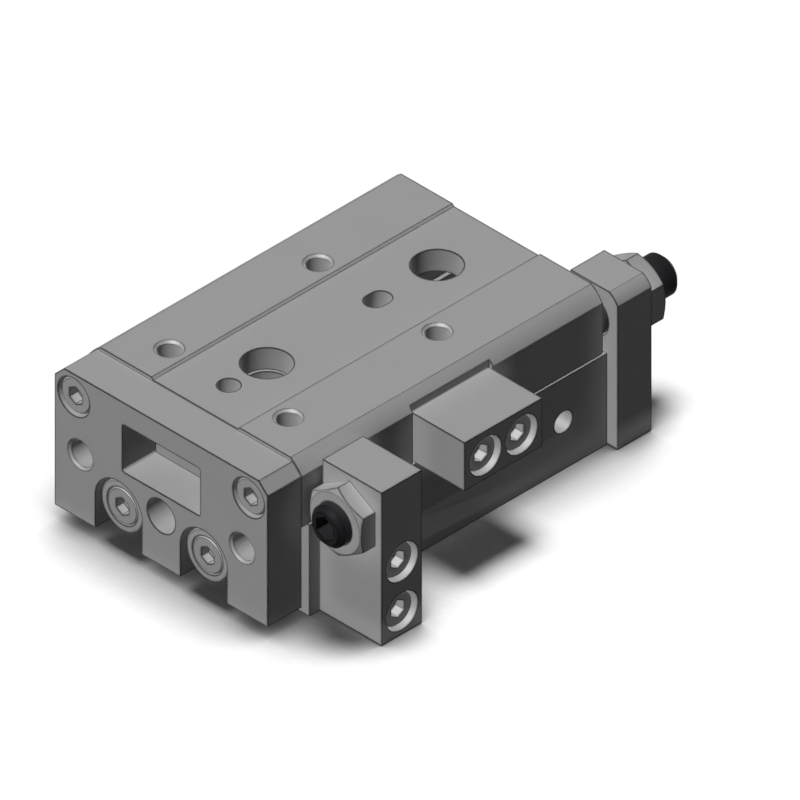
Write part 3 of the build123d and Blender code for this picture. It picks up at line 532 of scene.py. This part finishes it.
class SLIDE_OT_stage(bpy.types.Operator):
    """Add the pale floor, the white world and the lamps"""

    bl_idname = "slide_table.stage"
    bl_label = "Stage"

    def execute(self, context):
        settings = context.scene.slide_light
        floor = self.make_floor(context, settings)
        lamps = (
            add_sun(context, "key", settings.key_strength, settings.key_from, KEY_SPREAD),
            add_sun(context, "fill", settings.fill_strength, settings.fill_from, SOFT_SPREAD),
            add_sun(context, "side", settings.side_strength, settings.side_from, SOFT_SPREAD),
        )
        for lamp in lamps:
            lamp.data.use_shadow = False
            link_lamp(lamp, "receiver", [floor], "EXCLUDE")
        glint = add_sun(
            context, "glint", settings.glint_strength, settings.glint_from, GLINT_SPREAD
        )
        glint.visible_diffuse = False
        back = add_sun(context, "back", settings.back_strength, settings.back_from, SOFT_SPREAD)
        bright_metal = [
            frame["nodes"][name] for slot in BRIGHT_METALS for name in slot_nodes(slot)
        ]
        for lamp in (glint, back):
            lamp.data.use_shadow = False
            link_lamp(lamp, "receiver", [floor, *bright_metal], "EXCLUDE")
        overhead = add_sun(
            context, "overhead", settings.floor_strength, settings.floor_from, settings.floor_spread
        )
        link_lamp(overhead, "receiver", [floor], "INCLUDE")
        # The plate's foot is so near the floor that its shadow would have a hard edge; the painted
        # contact shadow shades the floor there instead
        link_lamp(overhead, "blocker", [frame["nodes"]["end_plate"]], "EXCLUDE")
        self.make_world(context, settings)
        return {"FINISHED"}

    def make_floor(self, context, settings):
        """A square floor just under the part: white to the camera, dim to soft light, with a shadow
        painted into its colour near the part's foot.
        """
        half = settings.floor_size / 2
        corners = [
            (-half, -half, FLOOR_LEVEL), (half, -half, FLOOR_LEVEL),
            (half, half, FLOOR_LEVEL), (-half, half, FLOOR_LEVEL),
        ]
        mesh = bpy.data.meshes.new("floor")
        mesh.from_pydata(corners, [], [(0, 1, 2, 3)])
        floor = bpy.data.objects.new("floor", mesh)
        context.scene.collection.objects.link(floor)
        material = bpy.data.materials.new("floor")
        tree = Tree(material)
        # Painted shadow: the floor's colour darkens towards the part's foot by ambient occlusion,
        # on top of the overhead lamp's real shadow
        near = tree.node(
            "ShaderNodeAmbientOcclusion", {"samples": FLOOR_SAMPLES},
            {"Distance": settings.contact},
        )
        open_sky = Signal(tree, near.outputs["AO"]) * settings.contact_gain
        shaded = tree.scaled(FLOOR_WHITE, open_sky.clamped() ** settings.contact_depth)
        lit = tree.node("ShaderNodeBsdfDiffuse", inputs={"Color": shaded})
        least = tree.node("ShaderNodeEmission", inputs={"Strength": settings.floor_least})
        white = tree.node("ShaderNodeAddShader", inputs={
            0: lit.outputs["BSDF"], 1: least.outputs["Emission"],
        })
        dim = tree.node("ShaderNodeBsdfDiffuse", inputs={"Color": FLOOR_DIM})
        mixed = tree.node("ShaderNodeMixShader", inputs={
            0: seen_directly(tree), 1: dim.outputs["BSDF"], 2: white.outputs["Shader"],
        })
        tree.node("ShaderNodeOutputMaterial", inputs={"Surface": mixed.outputs["Shader"]})
        mesh.materials.append(material)
        return floor

    def make_world(self, context, settings):
        """White behind the object, and an even low light on it."""
        world = bpy.data.worlds.new("world")
        context.scene.world = world
        tree = Tree(world)
        strength = seen_directly(tree) * (1.0 - settings.ambient) + settings.ambient
        background = tree.node("ShaderNodeBackground", inputs={
            "Color": (1.0, 1.0, 1.0, 1.0), "Strength": strength,
        })
        tree.node("ShaderNodeOutputWorld", inputs={"Surface": background.outputs["Background"]})


class SLIDE_OT_anodised(bpy.types.Operator):
    """Finish the aluminium body, table, end plate and guide block"""

    bl_idname = "slide_table.anodised"
    bl_label = "Anodised aluminium"

    def execute(self, context):
        colour = context.scene.slide_finish.grey
        # Gloss that shows in the table's shallow mouths would turn the body's long grooves white
        table = make_finish("anodised_table", colour, MATT, blasted)
        others = make_finish("anodised_aluminium", colour, MATT, blasted, gloss=0.6)
        for name in slot_nodes("anodised_aluminium"):
            dress(name, table if name == "table" else others)
        return {"FINISHED"}


class SLIDE_OT_steel_blocks(bpy.types.Operator):
    """Finish the adjuster holders, the stopper block and the lock nuts"""

    bl_idname = "slide_table.steel_blocks"
    bl_label = "Plated steel blocks"

    def execute(self, context):
        colour = context.scene.slide_finish.grey
        material = make_finish("plated_steel", colour, MATT, milled)
        for name in slot_nodes("plated_steel"):
            dress(name, material)
        return {"FINISHED"}


class SLIDE_OT_fasteners(bpy.types.Operator):
    """Finish the screws"""

    bl_idname = "slide_table.fasteners"
    bl_label = "Screws"

    def execute(self, context):
        colour = context.scene.slide_finish.grey
        axes = {
            "end_plate_screws": 1, "rod_end_screws": 1, "rear_holder_screws": 1,
            "cage_stop_screws": 1, "front_holder_screws": 0, "stopper_block_screws": 0,
            "guide_block_screws": 2,
        }
        for name in slot_nodes("screw_steel"):
            texture = turned(name, axes[name], CAP_HEAD_RADIUS)
            dress(name, make_finish(name, colour, MATT, texture))
        return {"FINISHED"}


class SLIDE_OT_adjusters(bpy.types.Operator):
    """Finish the black adjuster screws"""

    bl_idname = "slide_table.adjusters"
    bl_label = "Adjuster screws"

    def execute(self, context):
        colour = context.scene.slide_finish.black
        material = make_finish(
            "blackened_steel", colour, MATT, moulded, specular=0.02, gloss=0.15
        )
        for name in slot_nodes("blackened_steel"):
            dress(name, material)
        return {"FINISHED"}


class SLIDE_OT_running_parts(bpy.types.Operator):
    """Finish the rods, their floating ends, the rails, rollers and rings"""

    bl_idname = "slide_table.running_parts"
    bl_label = "Rods and guide"

    def execute(self, context):
        grey = context.scene.slide_finish.grey
        collar = turned("rod_end_collars", 1, COLLAR_RADIUS)
        finishes = {
            "stainless_steel": make_finish("stainless_steel", grey, MATT, collar),
            "hardened_steel": make_finish(
                "hardened_steel", (0.5, 0.5, 0.5), 0.3, ground, metallic=1.0
            ),
            "hard_chromed_rod": make_finish(
                "hard_chromed_rod", (0.6, 0.6, 0.6), 0.15, ground, metallic=1.0
            ),
            "spring_steel": make_finish(
                "spring_steel", (0.12, 0.12, 0.12), 0.5, ground, gloss=0.5
            ),
        }
        for slot, material in finishes.items():
            for name in slot_nodes(slot):
                dress(name, material)
        return {"FINISHED"}


class SLIDE_OT_inner_parts(bpy.types.Operator):
    """Finish the seals, bumpers, pistons, covers, cages and magnets"""

    bl_idname = "slide_table.inner_parts"
    bl_label = "Inner parts"

    def execute(self, context):
        finishes = {
            "cage_resin": ((0.75, 0.73, 0.66), 0.45, moulded),
            "cover_alloy": ((0.35, 0.35, 0.36), 0.4, ground),
            "seal_rubber": ((0.02, 0.02, 0.02), 0.6, moulded),
            "bumper_urethane": ((0.03, 0.03, 0.03), 0.5, moulded),
            "ferrite_magnet": ((0.06, 0.06, 0.06), 0.6, moulded),
        }
        for slot, (colour, roughness, texture) in finishes.items():
            material = make_finish(slot, colour, roughness, texture, gloss=0.4)
            for name in slot_nodes(slot):
                dress(name, material)
        return {"FINISHED"}


class SLIDE_PT_looks(bpy.types.Panel):
    """The slide table's looks, piece by piece"""

    bl_idname = "SLIDE_PT_looks"
    bl_label = "Slide Table"
    bl_space_type = "VIEW_3D"
    bl_region_type = "UI"
    bl_category = "Slide Table"

    def draw(self, context):
        layout = self.layout
        for operator in OPERATORS:
            layout.operator(operator.bl_idname)
        for settings in SETTINGS:
            group = getattr(context.scene, settings)
            box = layout.box()
            for name in group.bl_rna.properties.keys():
                if name not in ("rna_type", "name"):
                    box.prop(group, name)


SETTINGS = {
    "slide_camera": CameraSettings,
    "slide_light": LightSettings,
    "slide_finish": FinishSettings,
}
OPERATORS = (
    SLIDE_OT_camera,
    SLIDE_OT_stage,
    SLIDE_OT_anodised,
    SLIDE_OT_steel_blocks,
    SLIDE_OT_fasteners,
    SLIDE_OT_adjusters,
    SLIDE_OT_running_parts,
    SLIDE_OT_inner_parts,
)


def register():
    """Adds the settings, the operators and the panel."""
    for name, group in SETTINGS.items():
        bpy.utils.register_class(group)
        setattr(bpy.types.Scene, name, bpy.props.PointerProperty(type=group))
    for cls in (*OPERATORS, SLIDE_PT_looks):
        bpy.utils.register_class(cls)


def unregister():
    """Takes the panel, the operators and the settings away."""
    for cls in reversed((*OPERATORS, SLIDE_PT_looks)):
        bpy.utils.unregister_class(cls)
    for name, group in SETTINGS.items():
        delattr(bpy.types.Scene, name)
        bpy.utils.unregister_class(group)


def main():
    """Runs the operators in order, as the panel's buttons would."""
    register()
    bpy.context.scene.view_settings.view_transform = "Standard"
    for operator in OPERATORS:
        group, name = operator.bl_idname.split(".")
        getattr(getattr(bpy.ops, group), name)()


if __name__ == "__main__":
    main()
